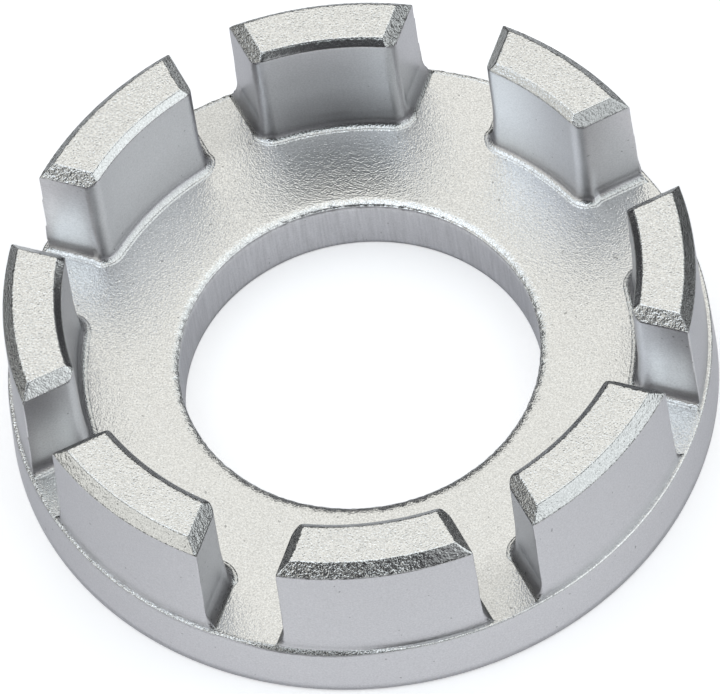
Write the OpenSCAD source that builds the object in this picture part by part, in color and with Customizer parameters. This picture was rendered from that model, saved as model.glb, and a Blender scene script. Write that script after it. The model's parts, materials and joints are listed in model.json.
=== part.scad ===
// Ring spoke wrench: a flat ring with a round hole, and eight lugs standing on it.
// The parallel gaps between the lugs are the slots that grip spoke nipples of eight sizes.
// The origin is at the centre of the underside, and +Z runs up along the hole's axis.

/* [Ring] */
// Diameter of the ring at its underside
ring_od = 36.3; // [34:0.1:44]
// Diameter of the hole through the ring
bore_d = 18.4; // [12:0.1:22]
// Thickness of the ring, from the underside to the floor of the slots
ring_t = 3.4; // [2:0.1:6]
// Draft angle of the ring's outer wall, in degrees
ring_draft = 2.5; // [0:0.1:5]
// Bevel round the ring's lower outer edge
ring_foot_bevel = 0.25; // [0.1:0.05:0.6]
// Bevel round the ring's upper outer edge
ring_rim_bevel = 0.08; // [0.04:0.01:0.12]
// Bevel round both ends of the hole
bore_bevel = 0.12; // [0.05:0.01:0.4]

/* [Lugs] */
// Height of the lugs above the ring
lug_h = 6.9; // [4:0.1:12]
// Radial thickness of a lug at its foot
lug_t = 3.24; // [2.8:0.02:4]
// Width of the ledge between a lug's outer face and the ring's rim
ledge_w = 0.25; // [0.15:0.01:0.6]
// Draft angle of a lug's outer face, in degrees
lug_draft = 1.7; // [0:0.1:4]
// Radius of the upright corners at a lug's inner face
corner_r = 0.7; // [0.4:0.05:1]

/* [Slots] */
// Width of the first slot, on the -Y side
slot_1_w = 4.15; // [3:0.05:6]
// Width of the second slot
slot_2_w = 3.3; // [3:0.05:6]
// Width of the third slot, on the +X side
slot_3_w = 3.7; // [3:0.05:6]
// Width of the fourth slot
slot_4_w = 5.5; // [3:0.05:6]
// Width of the fifth slot, on the +Y side
slot_5_w = 4.9; // [3:0.05:6]
// Width of the sixth slot
slot_6_w = 3.4; // [3:0.05:6]
// Width of the seventh slot, on the -X side
slot_7_w = 4.2; // [3:0.05:6]
// Width of the eighth slot
slot_8_w = 3.45; // [3:0.05:6]

/* [Edges] */
// Radius of the fillet at the foot of the slot walls and inner faces
root_r = 0.6; // [0.3:0.05:0.8]
// Width of the top bevel along a lug's inner face, seen from above
inner_bevel_w = 0.38; // [0.1:0.02:0.4]
// Drop of the top bevel down a lug's inner face
inner_bevel_drop = 0.32; // [0.1:0.02:0.4]
// Width of the top bevel along a slot wall, seen from above
slot_bevel_w = 0.58; // [0.5:0.02:0.9]
// Drop of the top bevel down a slot wall
slot_bevel_drop = 0.64; // [0.5:0.02:0.9]
// Width of the top bevel along a lug's outer face, seen from above
outer_bevel_w = 0.55; // [0.2:0.05:1]
// Drop of the top bevel down a lug's outer face
outer_bevel_drop = 0.66; // [0.2:0.02:1]

/* [Hidden] */

// The slots in order round the ring, anticlockwise seen from above, from the -Y side.
slot_widths = [slot_1_w, slot_2_w, slot_3_w, slot_4_w, slot_5_w, slot_6_w, slot_7_w, slot_8_w];
slot_count = len(slot_widths);
slot_pitch = 360 / slot_count;
first_slot_angle = -90;

// Radii of the walls, measured from the hole's axis.
foot_r = ring_od / 2;
rim_r = foot_r - ring_t * tan(ring_draft);
lug_foot_r = rim_r - ledge_w;
lug_inner_r = lug_foot_r - lug_t;
bevel_foot_r = lug_foot_r - (lug_h - outer_bevel_drop) * tan(lug_draft);

// A fillet stops a little before it would thin out to nothing on the floor.
fillet_reach_share = 0.85;
// How far a solid runs past the face that trims it.
overrun = 0.5;
// How far a rounded corner stands back from the walls beside it, so that their faces cross cleanly.
corner_shy = 0.01;

// Facets round the big circles and round the small radii.
ring_facets = 144;
edge_facets = 48;
$fn = ring_facets;

metal = [0.78, 0.79, 0.8];

function slot_width(i) = slot_widths[i % slot_count];

// Distance of an upright corner's centre from a slot's centreline.
function corner_offset(w) = w / 2 + corner_r;

// Distance of an upright corner's centre from the hole's axis, along the slot.
function corner_reach(w) = sqrt(pow(lug_inner_r + corner_r, 2) - pow(corner_offset(w), 2));

// Angle at the hole's axis between a slot's centreline and the corner's centre.
function corner_angle(w) = asin(corner_offset(w) / (lug_inner_r + corner_r));

// Depth of the band behind a slot wall, enough to reach the middle sector of the lug.
function band_depth(w) = corner_r + (lug_foot_r + overrun - corner_reach(w)) * tan(corner_angle(w));

// Concave foot fillet in the corner between a wall at x = 0 and the floor at y = 0.
module foot_fillet() {
    difference() {
        square([root_r * fillet_reach_share, root_r]);
        translate([root_r, root_r]) circle(root_r, $fn = edge_facets);
    }
}

// Upright section through the edge of a lug, from the metal at x = back to the face at x = wall.
module edge_section(back, wall) {
    polygon([
        [back, 0],
        [wall, 0],
        [wall, lug_h - inner_bevel_drop],
        [wall - inner_bevel_w, lug_h],
        [back, lug_h]
    ]);
    translate([wall, 0]) foot_fillet();
}

// One side of a lug, drawn for a slot that runs along +X, with the lug on the slot's +Y side.
module slot_side(w) {
    // The parallel wall of the slot.
    translate([corner_reach(w), w / 2, 0])
        rotate([90, 0, 90])
            linear_extrude(lug_foot_r + overrun - corner_reach(w))
                mirror([1, 0]) edge_section(-band_depth(w), 0);
    // The rounded corner between that wall and the inner face.
    translate([corner_reach(w), corner_offset(w), 0])
        rotate_extrude($fn = edge_facets) edge_section(0, corner_r - corner_shy);
}

// Cutter for the straight bevel along the top of a slot wall, drawn like slot_side.
module slot_bevel(w) {
    translate([lug_inner_r - overrun, w / 2, lug_h])
        rotate([90, 0, 90])
            linear_extrude(lug_t + ledge_w + overrun)
                polygon([
                    [-slot_bevel_w, -2 * slot_bevel_drop],
                    [2 * slot_bevel_w, slot_bevel_drop],
                    [-slot_bevel_w, slot_bevel_drop]
                ]);
}

// Middle sector of a lug, with its inner face on a circle about the hole's axis.
module inner_sector(start_angle, sweep) {
    rotate_extrude(start = start_angle, angle = sweep)
        translate([lug_inner_r, 0])
            mirror([1, 0]) edge_section(-lug_t - overrun, 0);
}

// Solid of revolution that trims the outside of every lug: the drafted face and its top bevel.
module outer_trim() {
    rotate_extrude()
        polygon([
            [0, 0],
            [lug_foot_r, 0],
            [bevel_foot_r, lug_h - outer_bevel_drop],
            [bevel_foot_r - outer_bevel_w, lug_h],
            [0, lug_h]
        ]);
}

// A lug between slot i and the next one round.
module lug(i) {
    near_w = slot_width(i);
    far_w = slot_width(i + 1);
    color(metal)
        translate([0, 0, ring_t])
            rotate(first_slot_angle + i * slot_pitch)
                intersection() {
                    difference() {
                        union() {
                            inner_sector(corner_angle(near_w), slot_pitch - corner_angle(near_w) - corner_angle(far_w));
                            slot_side(near_w);
                            rotate(slot_pitch) mirror([0, 1, 0]) slot_side(far_w);
                        }
                        slot_bevel(near_w);
                        rotate(slot_pitch) mirror([0, 1, 0]) slot_bevel(far_w);
                    }
                    outer_trim();
                }
}

// The flat ring, with its drafted outer wall and its hole.
module base_ring() {
    color(metal)
        rotate_extrude()
            polygon([
                [bore_d / 2, bore_bevel],
                [bore_d / 2 + bore_bevel, 0],
                [foot_r - ring_foot_bevel, 0],
                [foot_r - ring_foot_bevel * tan(ring_draft), ring_foot_bevel],
                [rim_r, ring_t - ring_rim_bevel],
                [rim_r - ring_rim_bevel, ring_t],
                [bore_d / 2 + bore_bevel, ring_t],
                [bore_d / 2, ring_t - bore_bevel]
            ]);
}

module lug_1() lug(0);
module lug_2() lug(1);
module lug_3() lug(2);
module lug_4() lug(3);
module lug_5() lug(4);
module lug_6() lug(5);
module lug_7() lug(6);
module lug_8() lug(7);

base_ring();
lug_1();
lug_2();
lug_3();
lug_4();
lug_5();
lug_6();
lug_7();
lug_8();
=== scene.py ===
# %% [markdown]
# # A ring spoke wrench
# The tool is one casting: a flat ring with a round hole, and eight lugs standing on it. The gaps between
# the lugs are the slots that grip spoke nipples. It is plated with satin zinc, pebbled where the mould left
# it rough and smooth where it did not. The packed model gives the exact place and size of every piece, so
# this lesson starts there and adds what a drawing leaves out: worn edges, cast feet, a skin and a finish.

# %% Load the fixed frame
import json
from math import asin, cos, hypot, pi, radians, sin, sqrt, tan

import bmesh
import bpy
from mathutils import Matrix, Quaternion, Vector, noise


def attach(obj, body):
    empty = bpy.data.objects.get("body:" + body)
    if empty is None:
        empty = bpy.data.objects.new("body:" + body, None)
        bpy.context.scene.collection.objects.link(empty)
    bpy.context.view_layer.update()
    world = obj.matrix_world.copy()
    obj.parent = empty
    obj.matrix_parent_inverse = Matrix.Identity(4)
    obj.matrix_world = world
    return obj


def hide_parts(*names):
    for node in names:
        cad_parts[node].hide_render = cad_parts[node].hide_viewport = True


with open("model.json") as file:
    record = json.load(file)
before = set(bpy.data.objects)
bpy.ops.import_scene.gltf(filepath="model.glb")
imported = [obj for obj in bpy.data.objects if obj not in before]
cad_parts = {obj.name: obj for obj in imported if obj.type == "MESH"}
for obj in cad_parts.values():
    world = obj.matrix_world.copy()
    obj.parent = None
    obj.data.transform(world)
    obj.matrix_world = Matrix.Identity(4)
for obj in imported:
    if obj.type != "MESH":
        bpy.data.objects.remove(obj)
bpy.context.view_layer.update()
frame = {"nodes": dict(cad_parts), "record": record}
mm = 0.001
print("CAD nodes:", ", ".join(sorted(frame["nodes"])))

# %% [markdown]
# ## The camera
# A long lens from far off keeps the ring's far side almost as large as its near side. The camera looks down
# on the ring from the front right, and is rolled a little, so that the ring sits slightly tilted in the
# picture. Its place is worked out from a point on the object, a direction and a distance, which reads
# better than raw coordinates.

# %% Camera
lens_mm = 595.1
sensor_mm = 36.0
camera_turn = radians(26.214)
camera_height = radians(55.789)
camera_roll = radians(-8.932)
camera_distance = 603.52 * mm
camera_aim = Vector((0.401, -0.600, 5.15)) * mm


def from_angles(turn, height):
    """The direction that lies turn radians round from the front and height radians above the horizon."""
    return Vector((sin(turn) * cos(height), -cos(turn) * cos(height), sin(height)))


back = from_angles(camera_turn, camera_height)
camera = bpy.data.objects.new("camera", bpy.data.cameras.new("camera"))
camera.data.lens = lens_mm
camera.data.sensor_width = sensor_mm
camera.location = camera_aim + back * camera_distance
camera.rotation_mode = "QUATERNION"
camera.rotation_quaternion = (-back).to_track_quat("-Z", "Y") @ Quaternion((0, 0, 1), camera_roll)
bpy.context.scene.collection.objects.link(camera)
bpy.context.scene.camera = camera
print("camera at", [round(x / mm) for x in camera.location], "mm")

# %% [markdown]
# ## Arithmetic for shaders
# A shader is a sum written with nodes. Wrapping a socket in a small class lets that sum be written as a
# Python expression, and each operator then adds its Math node. Every other kind of node comes from one
# method.


# %% Wires
class Wire:
    """An output socket that can stand in a sum: each operator adds a Math node."""

    def __init__(self, socket):
        self.socket = socket

    def maths(self, operation, *terms):
        node = self.socket.id_data.nodes.new("ShaderNodeMath")
        node.operation = operation
        for inlet, term in zip(node.inputs, terms):
            plug(inlet, term)
        return Wire(node.outputs[0])

    def __add__(self, other):
        return self.maths("ADD", self, other)

    def __sub__(self, other):
        return self.maths("SUBTRACT", self, other)

    def __rsub__(self, other):
        return self.maths("SUBTRACT", other, self)

    def __mul__(self, other):
        return self.maths("MULTIPLY", self, other)

    def __lt__(self, other):
        return self.maths("LESS_THAN", self, other)

    def __gt__(self, other):
        return self.maths("GREATER_THAN", self, other)

    __radd__ = __add__
    __rmul__ = __mul__


def plug(inlet, value):
    """Links a wire to a node's inlet, or sets the inlet to a plain value."""
    if isinstance(value, Wire):
        inlet.id_data.links.new(value.socket, inlet)
    else:
        inlet.default_value = value


print("wires carry", [name for name in vars(Wire) if name.startswith("__") and name != "__init__"][:6])


# %% Nodes
class Tree:
    """The nodes of one material or of the world."""

    def __init__(self, owner):
        owner.use_nodes = True
        self.nodes = owner.node_tree.nodes
        self.nodes.clear()

    def node(self, kind, settings=None, sockets=None, out=0):
        """Adds a node: its settings first, then the values or links of its sockets."""
        made = self.nodes.new("ShaderNode" + kind)
        for name, value in (settings or {}).items():
            setattr(made, name, value)
        for name, value in (sockets or {}).items():
            plug(made.inputs[name], value)
        return Wire(made.outputs[out]) if made.outputs else made


print("a tree has the methods", [name for name in vars(Tree) if not name.startswith("__")])

# %% [markdown]
# ## The studio light
# Bare metal shows what is round it, so the light has to have a shape. Each light is a smooth round patch of
# brightness painted on the world, given by the way it lies from the camera, how far it reaches and how soft
# its edge is, all in degrees. That gives soft light with no lamp to see and very little noise.


# %% Patches of light
world = bpy.data.worlds.new("studio")
bpy.context.scene.world = world
bpy.context.scene.view_settings.view_transform = "Standard"
studio = Tree(world)
sky = studio.node("TexCoord", out="Generated")


def soft_light(turn, height, reach, blur):
    """A round patch of light: 1 within reach of its centre, less the blur, and 0 beyond reach and blur."""
    centre = from_angles(camera_turn + radians(turn), radians(height))
    facing = studio.node("VectorMath", {"operation": "DOT_PRODUCT"}, {0: sky, 1: centre}, out="Value")
    edge = {"Value": facing, "From Min": cos(radians(reach + blur)), "From Max": cos(radians(reach - blur))}
    return studio.node("MapRange", {"interpolation_type": "SMOOTHSTEP"}, edge)


def tinted(colour, strength):
    """A colour scaled by a strength."""
    return studio.node("VectorMath", {"operation": "SCALE"}, {0: colour, "Scale": strength})


def brightest(lights):
    """Several lights side by side: where they overlap, the brightest one counts."""
    glow = lights[0]
    for light in lights[1:]:
        glow = studio.node("VectorMath", {"operation": "MAXIMUM"}, {0: glow, 1: light})
    return glow


print("patches are placed from the camera's side, at", round(camera_turn, 3), "radians")

# %% [markdown]
# The tops and the slot floor mirror what is high behind them, and the walls that face the camera mirror
# what stands beside it. So a large light hangs over the back, cool overhead and warmer lower down. Windows
# stand on the left and right, dimmer ones lie low on both sides, and faint ones in front lift the front
# bevels. The rest of the room is dark, which gives the inner bevels their black line. The light below is
# there for views of the underside.

# %% World
overhead_tints = {0: soft_light(180, 50, 34, 16), 6: (0.92, 1.00, 1.05, 1), 7: (1.00, 0.99, 0.965, 1)}
overhead_colour = studio.node("Mix", {"data_type": "RGBA"}, overhead_tints, out=2)
overhead = tinted(overhead_colour, soft_light(180, 74, 50, 6))
room = (0.05, 0.05, 0.055)
patches = {
    "zenith": ((1.12, 1.12, 1.10), (0, 90, 24, 12)),
    "left window": ((1.30, 1.39, 1.51), (-80, 63, 24, 7)),
    "middle of the left window": ((1.55, 1.66, 1.80), (-61, 58, 15, 6)),
    "right window": ((1.22, 1.28, 1.32), (92, 64, 18, 7)),
    "low on the right": ((1.06, 1.11, 1.15), (69, 28, 37, 6)),
    "low on the left": ((0.88, 0.88, 0.86), (-78, 14, 34, 6)),
    "front left": ((0.62, 0.63, 0.61), (-53, 28, 12, 4)),
    "front right": ((0.40, 0.41, 0.43), (21, 29, 14, 5)),
    "below": ((0.90, 0.90, 0.90), (0, -90, 80, 8)),
}
lights = [tinted(colour, soft_light(*patch)) for colour, patch in patches.values()]
glow = brightest([overhead, room, *lights])
background = studio.node("Background", sockets={"Color": glow, "Strength": 1.0})
studio.node("OutputWorld", sockets={"Surface": background})
print("the world has", len(lights) + 1, "lights and", len(studio.nodes), "nodes")

# %% [markdown]
# ## The table
# The wrench lies on plain white paper, a wide disc. The studio light alone would leave the paper grey. What
# is missing is added as a glow for rays from the camera, and in part for mirrored rays, so that the paper
# looks white and keeps the wrench's soft shadow without flooding the metal with light.

# %% Paper disc
floor_reach = 4.0

bm = bmesh.new()
bmesh.ops.create_circle(bm, cap_ends=True, segments=96, radius=floor_reach)
floor_mesh = bpy.data.meshes.new("paper")
bm.to_mesh(floor_mesh)
bm.free()
floor = bpy.data.objects.new("paper", floor_mesh)
bpy.context.scene.collection.objects.link(floor)
print("paper disc", 2 * floor_reach, "m across")

# %% [markdown]
# How much glow the metal sees on the paper depends on the place. The ring's outer wall mirrors the paper
# close to it and the hole's wall mirrors the paper inside the hole, where the ring keeps the light off. So
# the glow for mirrored rays is painted brighter round the ring, as painted light, and darker inside the hole,
# as painted shadow. Far away the paper is plain white to the camera and nearly dark to the metal. Seen from
# below it is clear, so that the underside can be looked at.

# %% Paper
paper_white = 0.85
lift = 0.41
far_glow = 0.08
white = (1, 1, 1, 1)
mirrored_share = 0.4
painted_glow_near_ring = 0.25
painted_shadow_in_hole = 0.42
near_ring_r = (18, 26)
hole_r = (9.2, 10)
sheet_r = (26, 62)

paper = bpy.data.materials.new("white_paper")
sheet = Tree(paper)
seen = sheet.node("LightPath", out="Is Camera Ray")
mirrored = sheet.node("LightPath", out="Is Glossy Ray")
through = sheet.node("LightPath", out="Is Transmission Ray")
spot = sheet.node("NewGeometry", out="Position")


def within(near, far):
    """1 on the paper within near of the axis and 0 beyond far, in mm, with a smooth fall between."""
    apart = sheet.node("VectorMath", {"operation": "DISTANCE"}, {0: spot, 1: (0, 0, 0)}, out="Value")
    fall = {"Value": apart, "From Min": near * mm, "From Max": far * mm, "To Min": 1.0, "To Max": 0.0}
    return sheet.node("MapRange", {"interpolation_type": "SMOOTHSTEP"}, fall)


# Painted light round the ring and painted shadow inside the hole, for mirrored rays.
share = mirrored_share + painted_glow_near_ring * within(*near_ring_r) - painted_shadow_in_hole * within(*hole_r)
added = (seen + mirrored * share + through) * lift
matt = sheet.node("BsdfDiffuse", sockets={"Color": (paper_white, paper_white, paper_white, 1)})
bright = sheet.node("Emission", sockets={"Color": white, "Strength": added})
lit = sheet.node("AddShader", sockets={0: matt, 1: bright})
distant = sheet.node("Emission", sockets={"Color": white, "Strength": seen + through + far_glow})
ground = sheet.node("MixShader", sockets={0: within(*sheet_r), 1: distant, 2: lit})
clear = sheet.node("BsdfTransparent")
from_below = sheet.node("NewGeometry", out="Backfacing")
surface = sheet.node("MixShader", sockets={0: from_below, 1: ground, 2: clear})
sheet.node("OutputMaterial", sockets={"Surface": surface})
floor_mesh.materials.append(paper)
print("the paper has", len(sheet.nodes), "nodes")

# %% [markdown]
# ## Sizes read from the frame
# The ring, the hole and the slots are already exact in the packed model, so they are measured there and not
# typed in again. Only the small edges, which the lesson cuts itself, have sizes of their own. Everything is
# modelled in millimetres and scaled down to metres at the very end.

# %% Measure the frame
NODES = [f"lug_{i + 1}" for i in range(8)]


def points_of(node):
    """The corners of a CAD node's mesh, in millimetres."""
    return [v.co / mm for v in frame["nodes"][node].data.vertices]


ring_points = points_of("base_ring")
foot_r = max(p.xy.length for p in ring_points)
floor_z = max(p.z for p in ring_points)
rim_r = max(p.xy.length for p in ring_points if p.z > 0.9 * floor_z)
bore_r = next(m["dims"]["r_mm"] for m in frame["record"]["mounts"] if m["name"] == "bore")
lug_points = points_of("lug_1")
top_z = max(p.z for p in lug_points)
lug_foot_r = max(p.xy.length for p in lug_points)
waist_z = (floor_z + top_z) / 2
lug_inner_r = min(p.xy.length for p in lug_points if p.z > waist_z)
print(f"ring {2 * foot_r:.1f} across, hole {2 * bore_r:.1f}, floor at {floor_z:.2f}, tops at {top_z:.2f}")
print(f"lugs from radius {lug_inner_r:.2f} to {lug_foot_r:.2f}")

# %% [markdown]
# The slots lie 45 degrees apart, anticlockwise from the front, and each lug stands between its own slot and
# the next one. A slot's width is measured from its middle line to the wall on either side.

# %% Measure the slots
first_slot = radians(-90)
slot_pitch = radians(45)


def slot_angle(i):
    """The angle of the i-th slot's line about the axis."""
    return first_slot + i * slot_pitch


def out_at(angle):
    """The direction that points straight out from the axis at an angle."""
    return Vector((cos(angle), sin(angle), 0))


def slot_side(angle, turn):
    """The direction square to a slot, towards the lug anticlockwise (turn 1) or clockwise (-1) from it."""
    return Vector((-sin(angle), cos(angle), 0)) * turn


def wall_gap(node, angle, turn):
    """How far a lug's wall stands from the middle of the slot beside it."""
    side = slot_side(angle, turn)
    return min(p.dot(side) for p in points_of(node) if p.z > waist_z)


near_gaps = [wall_gap(name, slot_angle(i), 1) for i, name in enumerate(NODES)]
far_gaps = [wall_gap(name, slot_angle(i + 1), -1) for i, name in enumerate(NODES)]
widths = [near_gaps[i] + far_gaps[i - 1] for i in range(8)]
print("slot widths:", [round(width, 2) for width in widths])

# %% [markdown]
# ## The edges of the casting
# Every lug has a round fillet at its foot, round upright corners on its inner side and a bevel along each
# top edge. The bevels differ: narrow towards the hole, wide along the slots and outside. They are given as
# width by drop.

# %% Edge sizes
root_r = 0.55
corner_r = 0.7
inner_bevel = (0.38, 0.32)
slot_bevel = (0.58, 0.64)
outer_bevel = (0.55, 0.66)
lug_draft = radians(1.7)
ledge_fillet = 0.03
sunk = 0.3
bevel_foot_z = top_z - outer_bevel[1]
bevel_foot_r = lug_foot_r - (bevel_foot_z - floor_z) * tan(lug_draft)
print(f"the outer bevel starts at radius {bevel_foot_r:.2f}, height {bevel_foot_z:.2f}")

# %% [markdown]
# ## A lug's plan
# Seen from above, a lug is two straight slot walls joined by two round corners and one arc about the hole.
# It is drawn as a pen would draw it: a straight line in, a swing round the corner, a swing about the hole,
# another corner and out again. Spinning a single vertex draws an arc. The plan starts wider than the lug,
# by the reach of its foot fillet, and a little below the floor, so that lug and ring overlap.


# %% Pen strokes
def swing(bm, vert, centre, angle, steps):
    """Draws an arc from a vertex and gives the vertex at its end."""
    made = bmesh.ops.spin(bm, geom=[vert], cent=centre, axis=(0, 0, 1), angle=angle, steps=steps)
    return next(item for item in made["geom_last"] if isinstance(item, bmesh.types.BMVert))


def line_to(bm, vert, point):
    """Draws a straight line from a vertex and gives the vertex at its end."""
    end = bm.verts.new(point)
    bm.edges.new((vert, end))
    return end


def corner_lean(gap):
    """Angle at the hole's axis between a slot's middle line and the centre of the corner beside it."""
    return asin((gap + corner_r) / (lug_inner_r + corner_r))


print("the corners beside the first slot lean away by", round(corner_lean(near_gaps[0]), 3), "radians")


# %% Plan
corner_steps = 12
arc_steps = 48
spare_share = 1.1


def lug_plan(bm, i, grown):
    """Draws the i-th lug's plan, wider by grown, as one face that looks up."""
    start, end = slot_angle(i), slot_angle(i + 1)
    z = Vector((0, 0, floor_z - sunk))
    outside = foot_r * spare_share
    lean_near, lean_far = corner_lean(near_gaps[i]), corner_lean(far_gaps[i])
    to_near, to_far = start + lean_near, end - lean_far
    centre_near, centre_far = (z + (lug_inner_r + corner_r) * out_at(a) for a in (to_near, to_far))
    pen = bm.verts.new(z + outside * out_at(start) + (near_gaps[i] - grown) * slot_side(start, 1))
    pen = line_to(bm, pen, centre_near - (corner_r + grown) * slot_side(start, 1))
    pen = swing(bm, pen, centre_near, lean_near - pi / 2, corner_steps)
    pen = swing(bm, pen, (0, 0, 0), to_far - to_near, arc_steps)
    pen = swing(bm, pen, centre_far, lean_far - pi / 2, corner_steps)
    line_to(bm, pen, z + outside * out_at(end) + (far_gaps[i] - grown) * slot_side(end, -1))
    bmesh.ops.contextual_create(bm, geom=bm.edges[:])
    face = bm.faces[:][0]
    face.normal_update()
    if face.normal.z < 0:
        face.normal_flip()
    return face


bm = bmesh.new()
plan = lug_plan(bm, 0, 0)
print(f"the first plan has {len(plan.verts)} corners and covers {plan.calc_area():.0f} square mm, with spare")
bm.free()

# %% [markdown]
# ## Raising the lug
# The plan is raised in steps, each an inset that moves in a little and up a little: first out of the ring,
# then round the foot fillet, straight up the wall, and last over the inner bevel.

# %% Raise
turns = [radians(a) for a in range(0, 91, 15)]
foot = [(root_r * (sin(b) - sin(a)), root_r * (cos(a) - cos(b))) for a, b in zip(turns, turns[1:])]
wall = (0, top_z - inner_bevel[1] - floor_z - root_r)
climb = [(0, sunk), *foot, wall, inner_bevel]


def raise_lug(bm, face):
    """Raises a lug's plan to its full height and closes it underneath."""
    even = {"use_boundary": True, "use_even_offset": True}
    for inward, up in climb:
        bmesh.ops.inset_region(bm, faces=[face], thickness=inward, depth=up, **even)
    bmesh.ops.holes_fill(bm, edges=[edge for edge in bm.edges if edge.is_boundary])


print(f"{len(climb)} insets raise a lug by {sum(up for _, up in climb):.2f} mm")

# %% [markdown]
# The bevels along the slots are straight, so each is one slanting cut. The plane passes through the line
# where the wall ends, and what lies beyond it falls away.


# %% Cut
def cut_slot_bevel(bm, angle, turn, gap):
    """Cuts the slanting edge along one slot wall and closes the cut."""
    width, drop = slot_bevel
    side = slot_side(angle, turn)
    beyond = (width * Vector((0, 0, 1)) - drop * side).normalized()
    wall_edge = gap * side + Vector((0, 0, top_z - drop))
    everything = bm.verts[:] + bm.edges[:] + bm.faces[:]
    bmesh.ops.bisect_plane(bm, geom=everything, plane_co=wall_edge, plane_no=beyond, clear_outer=True)
    bmesh.ops.holes_fill(bm, edges=[edge for edge in bm.edges if edge.is_boundary])


def clean_lug(i):
    """The i-th lug with clean edges, still too deep on its outside."""
    bm = bmesh.new()
    raise_lug(bm, lug_plan(bm, i, root_r))
    cut_slot_bevel(bm, slot_angle(i), 1, near_gaps[i])
    cut_slot_bevel(bm, slot_angle(i + 1), -1, far_gaps[i])
    return bm


bm = clean_lug(0)
print("the first lug has", len(bm.faces), "faces before its outside is trimmed")
bm.free()

# %% [markdown]
# ## The outside of the lugs
# On the outside all eight lugs lie on one turned shape: a cone with a little draft, a bevel at the top and
# a very small fillet where it meets the ring's ledge. So its outline is spun once about the axis, and each
# lug is what it has in common with that solid. A long spin is slow, so an eighth is spun, copied round and
# merged. The ring is made by the same helper later.

# %% Turned shapes
eighths = 8


def turned(outline, steps):
    """A closed mesh made by spinning an outline, a list of (radius, height), about the axis."""
    bm = bmesh.new()
    verts = [bm.verts.new((r, 0, z)) for r, z in outline]
    edges = [bm.edges.new(pair) for pair in zip(verts, verts[1:])]
    axis = {"cent": (0, 0, 0), "axis": (0, 0, 1)}
    bmesh.ops.spin(bm, geom=verts + edges, angle=2 * pi / eighths, steps=steps // eighths, **axis)
    eighth = bm.verts[:] + bm.edges[:] + bm.faces[:]
    for k in range(1, eighths):
        copy = bmesh.ops.duplicate(bm, geom=eighth)["geom"]
        turn = Matrix.Rotation(2 * pi * k / eighths, 3, "Z")
        bmesh.ops.rotate(bm, verts=[v for v in copy if isinstance(v, bmesh.types.BMVert)], matrix=turn)
    bmesh.ops.remove_doubles(bm, verts=bm.verts, dist=1e-4)
    bmesh.ops.recalc_face_normals(bm, faces=bm.faces)
    return bm


def new_object(name, bm):
    """An object in the scene with the mesh that a bmesh holds."""
    mesh = bpy.data.meshes.new(name)
    bm.to_mesh(mesh)
    bm.free()
    made = bpy.data.objects.new(name, mesh)
    bpy.context.scene.collection.objects.link(made)
    return made


toe_turns = [radians(a) for a in (0, 30, 60, 88)]
toe = [(lug_foot_r + ledge_fillet * (1 - sin(a)), floor_z + ledge_fillet * (1 - cos(a))) for a in toe_turns]
bevel_end = (bevel_foot_r - 2 * outer_bevel[0], bevel_foot_z + 2 * outer_bevel[1])
low_z = floor_z - 2 * sunk
below = [(0, low_z), (toe[0][0], low_z)]
above = [(bevel_foot_r, bevel_foot_z), bevel_end, (0, bevel_end[1])]
envelope = new_object("envelope", turned(below + toe + above, 360))
print("the envelope has", len(envelope.data.polygons), "faces")

# %% [markdown]
# ## Blanks
# A Boolean trims each lug cleanly, because no face of one shape lies in a face of the other. A voxel remesh
# then turns the few large faces into an even net of small ones, fine enough to carry dents and pebbles, and
# rounds every edge by about the size of a voxel, as plating does.

# %% Blanks
voxel = 0.07


def lug_blank(i):
    """The i-th lug, trimmed outside, as an even net of small faces."""
    blank = new_object(NODES[i] + "_blank", clean_lug(i))
    trim = blank.modifiers.new("outside", "BOOLEAN")
    trim.operation = "INTERSECT"
    trim.object = envelope
    net = blank.modifiers.new("net", "REMESH")
    net.mode = "VOXEL"
    net.voxel_size = voxel
    shaped = blank.evaluated_get(bpy.context.evaluated_depsgraph_get())
    mesh = bpy.data.meshes.new_from_object(shaped)
    bpy.data.objects.remove(blank)
    return mesh


blanks = [lug_blank(i) for i in range(8)]
bpy.data.objects.remove(envelope)
print("faces in each lug:", [len(mesh.polygons) for mesh in blanks])

# %% [markdown]
# ## The skin of a casting
# The mould, the plating bath and use leave a skin that differs from place to place. So each point of a
# blank is looked at once. From its place and the way it faces, the lesson works out where it moves to, and
# six traits, each about 0 to 1, that the finish reads later:
# - grain: how pebbled it is, as on the bevels
# - pale: the lighter metal of the tops, bevels and floor; the walls are darker for their smooth finish and as
#   painted shade
# - sand: how finely sanded it is, as on the tops and the floor
# - painted shade: how much painted shade darkens it, as at the feet and in the narrow slots
# - painted highlight: how much a painted highlight brightens it, on some slot walls and inner faces
# - streak: how streaked it is, as in the hole
#
# All of it comes from two helpers: a ramp between two values, and smooth noise.

# %% Ramp and noise
TRAITS = ["grain", "pale", "sand", "thin", "rub", "streak"]


def ramp(value, start, end):
    """0 up to start, 1 from end on and a smooth curve between. The start may be the larger of the two."""
    share = min(1.0, max(0.0, (value - start) / (end - start)))
    return share * share * (3 - 2 * share)


def wobble(point, size, seed=0.0):
    """Smooth noise from 0 to 1 whose lumps are about size wide."""
    return 0.5 + 0.5 * noise.noise(point / size + Vector((seed, seed, seed)))


def left_side(point):
    """1 on the rough left side of the tool and 0 on its smooth right side."""
    return ramp(point.x, 3, -1)


print("a ramp from 0 to 1, in quarters:", [round(ramp(k / 4, 0, 1), 2) for k in range(5)])

# %% [markdown]
# ## The feet of the lugs
# On the real tool each inner face leans out a little before it turns into its fillet. Along the slots there
# are two kinds of foot: a plain round fillet on four lugs, and on the others a flare that meets the floor
# at a clear edge. The blanks all have the round fillet, so each kind is given as the distance that a point
# moves out from it.

# %% Feet
flare = 0.22
flare_top = 3.2
steep = 0.46
steep_top = 1.35
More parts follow.
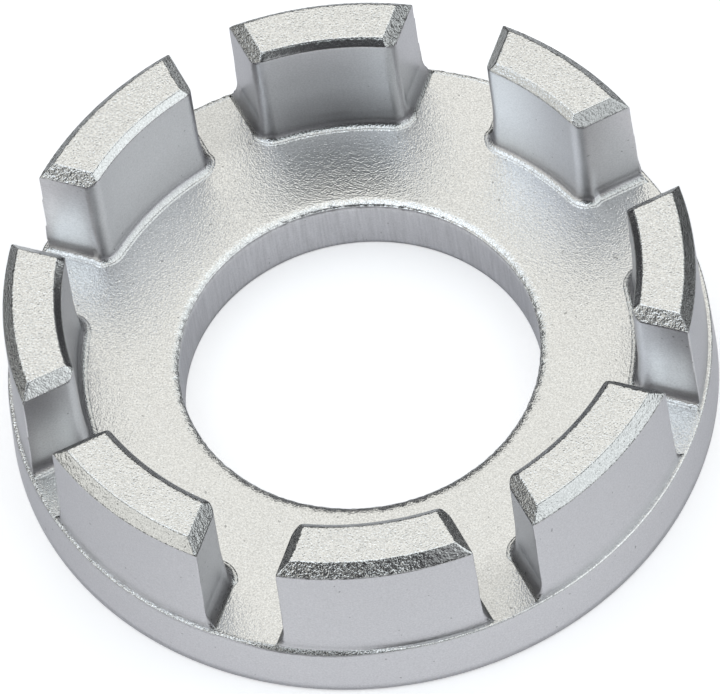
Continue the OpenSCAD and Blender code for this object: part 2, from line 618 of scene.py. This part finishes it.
# Plain slot feet get this share of the painted shade that the steep ones get.
plain_foot_shade_share = 0.25
plain_feet = {"lug_3", "lug_4", "lug_6", "lug_7"}


def round_foot(height):
    """How far the plain round fillet stands out from the wall at a height over the floor."""
    return root_r - sqrt(root_r**2 - (root_r - min(max(height, 0), root_r)) ** 2)


def soft_foot(height):
    """The foot of an inner face: the wall flares out gently before it turns into the fillet."""
    return round_foot(height) + flare * (1 - min(max(height, root_r), flare_top) / flare_top) ** 2


def steep_foot(height):
    """The foot of a slot wall: a steep flare that meets the floor at a clear edge."""
    return steep * (1 - min(max(height, 0), steep_top) / steep_top) ** 2.2


def foot_shift(i, point, level):
    """How far a point near a foot moves out, and how much painted shade a slot wall's foot gets there, from 0
    to 1.
    """
    height = point.z - floor_z
    on_slot = 0.0
    for angle, turn in ((slot_angle(i), 1), (slot_angle(i + 1), -1)):
        facing = ramp(-level.dot(slot_side(angle, turn)), 0.7, 0.97)
        past_corner = ramp(point.dot(out_at(angle)), lug_inner_r + 0.1, lug_inner_r + 0.6)
        on_slot = max(on_slot, facing * past_corner)
    plain = NODES[i] in plain_feet
    slot_foot = round_foot(height) if plain else steep_foot(height)
    foot = soft_foot(height) * (1 - on_slot) + slot_foot * on_slot
    return foot - round_foot(height), on_slot * (plain_foot_shade_share if plain else 1.0)


print(f"at the floor an inner foot stands out {soft_foot(0):.2f} mm and a steep one {steep_foot(0):.2f} mm")

# %% [markdown]
# ## What differs from lug to lug
# No two lugs of a casting come out the same. Some bevels are smooth and others rough, some are painted darker
# as painted shade, and some walls carry a painted highlight. These tables name the lugs that have each mark,
# so that a mark can be found and changed on its own. A slot wall is 0 on a lug's near side and 1 on its far
# side.
# A highlighted inner face has its strength, and the values of X where the highlight starts and where it is
# full.

# %% Marks
smooth_slot_bevels = {"lug_4", "lug_7"}
# Painted shade: the bevels of these lugs are painted darker.
shaded_slot_bevels = {"lug_1", "lug_2", "lug_4", "lug_5", "lug_8"}
even_outer_bevels = {"lug_3", "lug_7"}
shaded_outer_bevels = {"lug_2": 0.1, "lug_3": 0.6, "lug_7": 0.3}
rough_inner_bevels = {"lug_4"}
shaded_inner_bevels = {"lug_4": 0.15}
highlighted_slot_walls = {"lug_3": 0, "lug_6": 1, "lug_7": 1}
highlighted_inner_faces = {"lug_4": (0.68, 7, 3), "lug_5": (0.4, -6, -2.5)}


def highlight_patch(point, level, angle):
    """The painted highlight on a slot wall: most low on its flat, and not at all near its edges."""
    facing = ramp(abs(level.dot(slot_side(angle, 1))), 0.9, 0.99)
    off_middle = abs(point.dot(out_at(angle)) - (lug_inner_r + lug_foot_r) / 2 - 0.1)
    over_foot = ramp(point.z - floor_z, 0.3, 1.2)
    under_top = ramp(top_z - point.z, 0.9, 4.9)
    return facing * ramp(off_middle, 1.6, 0.6) * over_foot * under_top


def highlighted(i, point, level, outward):
    """How much painted highlight the i-th lug gets at a point."""
    name = NODES[i]
    bright = 0.0
    if name in highlighted_inner_faces:
        strength, start, full = highlighted_inner_faces[name]
        bright += strength * ramp(outward, -0.8, -0.97) * ramp(point.x, start, full)
    if name in highlighted_slot_walls:
        bright += highlight_patch(point, level, slot_angle(i + highlighted_slot_walls[name]))
    return bright


print("lugs with a rubbed wall:", ", ".join(sorted(highlighted_slot_walls | highlighted_inner_faces)))

# %% [markdown]
# ## The skin of a lug
# First a point is placed: on the upper part or at the foot, on a bevel or not, and turned to the inside, to
# a slot or to the outside. Then come its traits, and the dents that wear presses into the bevels. Round the
# front, the outer bevels are rough about the middle of the front lug and smoother to both sides of it. In
# the values, calm says how much smoother a place is than the rest, and shade how much darker it is painted,
# as painted shade.

# %% Traits of a bevel
wear = 0.06
wear_size = 0.2
waviness = 0.012
wave_size = 2.5
rough_middle_x = 5
calm_on_slots = 0.8
calm_outside = 0.7
even_grain = 0.8
slot_bevel_shade = 0.3
foot_shade = 0.15
slot_foot_shade = 0.35
floor_grain = 0.4
top_grain = 0.2
bevel_grain = 0.5
toe_grain = 0.6


def bevel_traits(name, point, bevel, outward):
    """The grain share, the painted shade and the wear of a point that is on a bevel, by the way it faces."""
    inside = ramp(outward, -0.35, -0.6)
    beside = ramp(abs(outward), 0.5, 0.2)
    outside = ramp(outward, 0.35, 0.6)
    front_end = ramp(point.y, 0, -3) * ramp(abs(point.x - rough_middle_x), 3, 4.6)
    calm_slot = calm_on_slots * beside * (name in smooth_slot_bevels)
    calm_outer = calm_outside * outside * max(front_end, name in even_outer_bevels)
    calm = bevel * max(calm_slot, calm_outer)
    share = 1 - calm * (1 - even_grain * bevel * outside * (name in even_outer_bevels))
    # Painted shade on some bevels, by lug and by the way they face.
    shade_slot = slot_bevel_shade * beside * (name in shaded_slot_bevels)
    shade_outer = outside * shaded_outer_bevels.get(name, 0)
    shade_inner = inside * shaded_inner_bevels.get(name, 0)
    worn = bevel * (1 - 0.9 * inside) * (1 - calm)
    return share, bevel * max(shade_slot, shade_outer, shade_inner), worn


point = Vector((0, -lug_inner_r - 1, top_z))
shares = bevel_traits("lug_1", point, 1.0, 0.0)
print("grain share, shading and wear on a slot bevel:", [round(x, 2) for x in shares])


# %% Skin of a lug
def lug_skin(i, point, normal):
    """Where a point of the i-th blank lug ends up, and its traits."""
    name = NODES[i]
    height = point.z - floor_z
    level = Vector((normal.x, normal.y, 0)).normalized()
    outward = normal.dot(Vector((point.x, point.y, 0)).normalized())
    upper = ramp(height, root_r + 0.3, root_r + 0.5)
    slanting = upper * ramp(normal.z, 0.2, 0.5)
    bevel = slanting * ramp(normal.z, 0.98, 0.88)
    pale = slanting + (1 - upper) * ramp(normal.z, 0.45, 0.9)
    share, thin, worn = bevel_traits(name, point, bevel, outward)
    smooth_inside = upper * ramp(outward, -0.35, -0.6) * (0.5 if name in rough_inner_bevels else 0.9)
    grain = share * pale * (1 - smooth_inside) * (floor_grain + top_grain * upper + bevel_grain * bevel)
    depth = wear * worn * wobble(point, wear_size) + waviness * upper * wobble(point, wave_size, 7.0)
    place = point - normal * depth
    if height < flare_top and outward < 0.8:
        shift, shaded = foot_shift(i, point, level)
        place += level * shift * ramp(outward, 0.8, 0.4)
        # Painted shade: the feet are painted darker towards the floor, the steep slot feet most.
        thin = foot_shade * (1 - height / flare_top) + slot_foot_shade * shaded * ramp(height, 1.6, 0.2)
    elif height < 0.16:
        grain = toe_grain * left_side(point)
    rub = highlighted(i, point, level, outward)
    sand = ramp(normal.z, 0.9, 0.98)
    return place, {"grain": grain, "pale": pale, "sand": sand, "thin": thin, "rub": rub}


print("grain on a flat top:", round(lug_skin(0, point, Vector((0, 0, 1)))[1]["grain"], 2))


# %% Cover the lugs
def covered(name, bm, skin):
    """Moves each point of a blank, writes its traits and brings the blank down to metres."""
    layers = {trait: bm.verts.layers.float.new(trait) for trait in TRAITS}
    found = [skin(vert.co.copy(), vert.normal.copy()) for vert in bm.verts]
    for vert, (place, traits) in zip(bm.verts, found):
        vert.co = place
        for trait, value in traits.items():
            vert[layers[trait]] = value
    for face in bm.faces:
        face.smooth = True
    bmesh.ops.scale(bm, vec=(mm, mm, mm), verts=bm.verts)
    return new_object(name, bm)


def cast_lug(i, mesh):
    """The i-th lug with its skin."""
    bm = bmesh.new()
    bm.from_mesh(mesh)
    return covered(NODES[i] + "_cast", bm, lambda point, normal: lug_skin(i, point, normal))


lugs = [cast_lug(i, mesh) for i, mesh in enumerate(blanks)]
print("highest point:", round(max(v.co.z for v in lugs[0].data.vertices) / mm, 3), "mm")

# %% [markdown]
# ## The ring
# The ring is a turned shape too. Its upright section is a few corners joined by straight lines, and each
# line is cut into short pieces so that the surface can carry small unevenness: shortest at the rims, where
# the most happens, and longest on the flats.

# %% Ring blank
ring_steps = 1152
rim_edge = 0.05
bore_edge = 0.12
foot_edge = 0.25
rim_band = 0.5
band_draft = 0.02
foot_draft = 0.01
finest, fine_piece = 0.04, 0.06
bore_piece, floor_piece, side_piece, under_piece = 0.3, 0.45, 0.5, 0.6
ring_corners = [
    (bore_r, bore_edge, bore_piece),
    (bore_r, floor_z - bore_edge, finest),
    (bore_r + bore_edge, floor_z, floor_piece),
    (rim_r - rim_band, floor_z, fine_piece),
    (rim_r - rim_edge, floor_z, finest),
    (rim_r, floor_z - rim_edge, fine_piece),
    (rim_r + band_draft, floor_z - rim_band, side_piece),
    (foot_r - foot_draft, foot_edge, fine_piece),
    (foot_r - foot_edge, 0, under_piece),
    (bore_r + bore_edge, 0, fine_piece),
]


def divided(corners):
    """A closed outline as (radius, height), cut into pieces about as long as each corner says."""
    outline = []
    for (r0, z0, piece), (r1, z1, _) in zip(corners, corners[1:] + corners[:1]):
        count = max(1, round(hypot(r1 - r0, z1 - z0) / piece))
        outline += [(r0 + (r1 - r0) * k / count, z0 + (z1 - z0) * k / count) for k in range(count)]
    return outline + outline[:1]


ring_outline = divided(ring_corners)
ring_blank = turned(ring_outline, ring_steps)
print("the ring's section has", len(ring_outline) - 1, "corners")

# %% [markdown]
# ## The skin of the ring
# The hole's upper rim carries a burr, and the outer rim wavers, more so on the left. The narrow ledge
# outside the lugs is as rough as the bevels, except on the right, and in front it slumps towards the rim,
# where it is painted darker as painted shade. The floor of the narrow slots is painted a little darker too,
# as painted shade. Only the wall of the hole is streaked, where the punch went through.

# %% Skin of the ring
burr, burr_size = 0.07, 0.3
rim_waver, left_waver, waver_size = 0.02, 0.05, 0.22
slump, slump_size = 0.17, 0.2
ledge_w = 0.25
floor_pebbles = 0.2
ledge_pebbles = 1.2
calm_ledge = 0.15
ledge_shade = 0.45
narrow_slot_shade = 0.14
narrow_w = 3.6
narrow_slots = [slot_angle(i) for i, width in enumerate(widths) if width < narrow_w]


def in_narrow_slot(point):
    """How far a point lies in a narrow slot, from 0 to 1."""
    ahead = [angle for angle in narrow_slots if point.dot(out_at(angle)) > 0]
    across = [ramp(abs(point.dot(slot_side(angle, 1))), 3.5, 2.0) for angle in ahead]
    return max(across, default=0) * ramp(point.xy.length, lug_inner_r - 1, lug_inner_r + 1)


def ring_traits(point, normal, slumped):
    """The traits of a point of the ring."""
    radius = point.xy.length
    pale = ramp(normal.z, 0.3, 0.8)
    on_ledge = ramp(radius, rim_r - 0.3, rim_r - 0.2) * ramp(point.z, floor_z - 0.2, floor_z - 0.05)
    grain = floor_pebbles * pale + on_ledge * (ledge_pebbles * ramp(point.x, 9, 3) - calm_ledge)
    # Painted shade on the front ledge and on the floor of the narrow slots.
    thin = max(ledge_shade * on_ledge * slumped, narrow_slot_shade * pale * in_narrow_slot(point))
    streak = ramp(radius, bore_r + 0.08, bore_r + 0.03)
    return {"grain": grain, "pale": pale, "sand": pale, "thin": thin, "streak": streak}


def ring_skin(point, normal):
    """Where a point of the blank ring ends up, and its traits."""
    radius = point.xy.length
    at_bore = ramp(abs(radius - bore_r), 0.35, 0.05) * ramp(point.z, floor_z - 0.35, floor_z - 0.05)
    at_rim = ramp(abs(radius - rim_r), 0.2, 0.02) * ramp(point.z, floor_z - 0.25, floor_z - 0.02)
    waver = rim_waver + left_waver * left_side(point)
    depth = burr * at_bore * wobble(point, burr_size) + waver * at_rim * wobble(point, waver_size, 3.0)
    slumped = ramp(point.x, 9, 4) * ramp(point.x, -1, 2) * ramp(point.y, 0, -3)
    slope = min(1, max(0, (radius - rim_r + ledge_w) / 0.2)) * ramp(point.z, floor_z - 0.4, floor_z - 0.05)
    drop = slump * slumped * slope * (0.8 + 0.4 * wobble(point, slump_size, 5.0))
    return point - normal * depth - Vector((0, 0, drop)), ring_traits(point, normal, slumped)


ring = covered("ring_cast", ring_blank, ring_skin)
print("ring:", len(ring.data.polygons), "faces")

# %% [markdown]
# ## The plated finish
# Zinc plate is bare metal, so its colour is the colour of its reflections. What differs over the part is
# the relief, and some painted shade and painted highlight in its colour. All of the relief is noise on the
# object's own coordinates, in lumps of the size that is seen on the tool: the bevels are pebbled, the tops
# and the floor are sanded, and the walls are smooth with a faint cloud and a few small pits, which are also
# painted darker, as painted shade. Noise that is stretched along Z makes the upright streaks in the hole.

# %% Noise on the plate
pit_level = 0.86
streak_stretch = 0.06

plate = bpy.data.materials.new("plated_casting")
coat = Tree(plate)
place = coat.node("TexCoord", out="Object")
grain, pale, sand, thin, rub, streak = [
    coat.node("Attribute", {"attribute_name": trait}, out="Fac") for trait in TRAITS
]


def noise_at(size_mm, detail, roughness, where=place):
    """Noise on the casting whose lumps are about size_mm wide."""
    sockets = {"Vector": where, "Scale": 1 / (size_mm * mm), "Detail": detail, "Roughness": roughness}
    return coat.node("TexNoise", sockets=sockets)


fine = noise_at(0.06, 0.0, 0.5)
pebbles = noise_at(0.1, 1.0, 0.5)
lumps = noise_at(0.2, 1.0, 0.5)
speck = noise_at(0.09, 1.0, 0.6)
# The pits are painted darker as well as dented: painted shade in them.
pits = noise_at(0.22, 0.0, 0.5) > pit_level
cloud = noise_at(1.4, 2.0, 0.55)
drawn = coat.node("Mapping", sockets={"Vector": place, "Scale": (1, 1, streak_stretch)})
streaks = noise_at(0.16, 2.0, 0.6, drawn)
print("the plate has", len(coat.nodes), "nodes before its colour")

# %% [markdown]
# The traits say how much of each noise a place gets. The colour is a greyish metal on the walls, darker than
# the tops both for their smooth finish and as painted shade, a warmer and lighter one on the pale parts and
# almost white where a painted highlight lies, all speckled a little and darkened where painted shade lies.
# The relief is a bump of some hundredths of a millimetre. The pale parts are also glossier, which makes them
# sparkle.

# %% Plate
# The walls' colour is darker than the pale one, for their smooth finish and as painted shade.
smooth_shaded_colour = (0.650, 0.642, 0.660, 1)
pale_colour = (0.75, 0.755, 0.735, 1)
# The colour of the painted highlight on some walls.
highlight_colour = (0.97, 0.985, 1.0, 1)
edge_tint = (0.63, 0.64, 0.66, 1)
wall_speckle = 0.35
pale_speckle = 0.45
streak_shade = 0.45
pit_shade = 0.4
wall_relief = 0.045
sand_relief = 0.2
lump_relief = 0.3
streak_relief = 0.3
pit_relief = 0.4
bump_depth = 0.055 * mm
wall_rough = 0.32
pale_gloss = 0.18
cloud_rough = 0.04


def mixed(share, one, other):
    """A colour between two."""
    return coat.node("Mix", {"data_type": "RGBA"}, {0: share, 6: one, 7: other}, out=2)


plain = mixed(pale, mixed(rub, smooth_shaded_colour, highlight_colour), pale_colour)
speckled = 1 + (speck - 0.5) * (wall_speckle + pale_speckle * pale)
streaked = (streaks - 0.5) * streak * streak_shade
# Painted shade darkens the colour where a place has it.
shade = (speckled + streaked) * (1 - thin) * (1 - pit_shade * pits)
colour = coat.node("VectorMath", {"operation": "SCALE"}, {0: plain, "Scale": shade})
sanded = fine * (wall_relief + sand_relief * sand) + lumps * sand * lump_relief
relief = pebbles * grain + sanded + streaks * streak * streak_relief - pits * pit_relief
bump = coat.node("Bump", sockets={"Height": relief, "Distance": bump_depth, "Strength": 1.0})
rough = wall_rough - pale_gloss * pale + cloud_rough * cloud
looks = {
    "Base Color": colour,
    "Metallic": 1.0,
    "Roughness": rough,
    "Normal": bump,
    "Specular Tint": edge_tint,
}
metal = coat.node("BsdfPrincipled", sockets=looks)
coat.node("OutputMaterial", sockets={"Surface": metal})
print("the finish has", len(coat.nodes), "nodes")

# %% [markdown]
# ## Attach the pieces
# Each new piece gets the plated finish, rides on the tool's one body and takes the place of its CAD node,
# which is hidden.

# %% Riding
for piece, node in zip([ring, *lugs], ["base_ring", *NODES]):
    piece.data.materials.append(plate)
    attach(piece, "root")
    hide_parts(node)
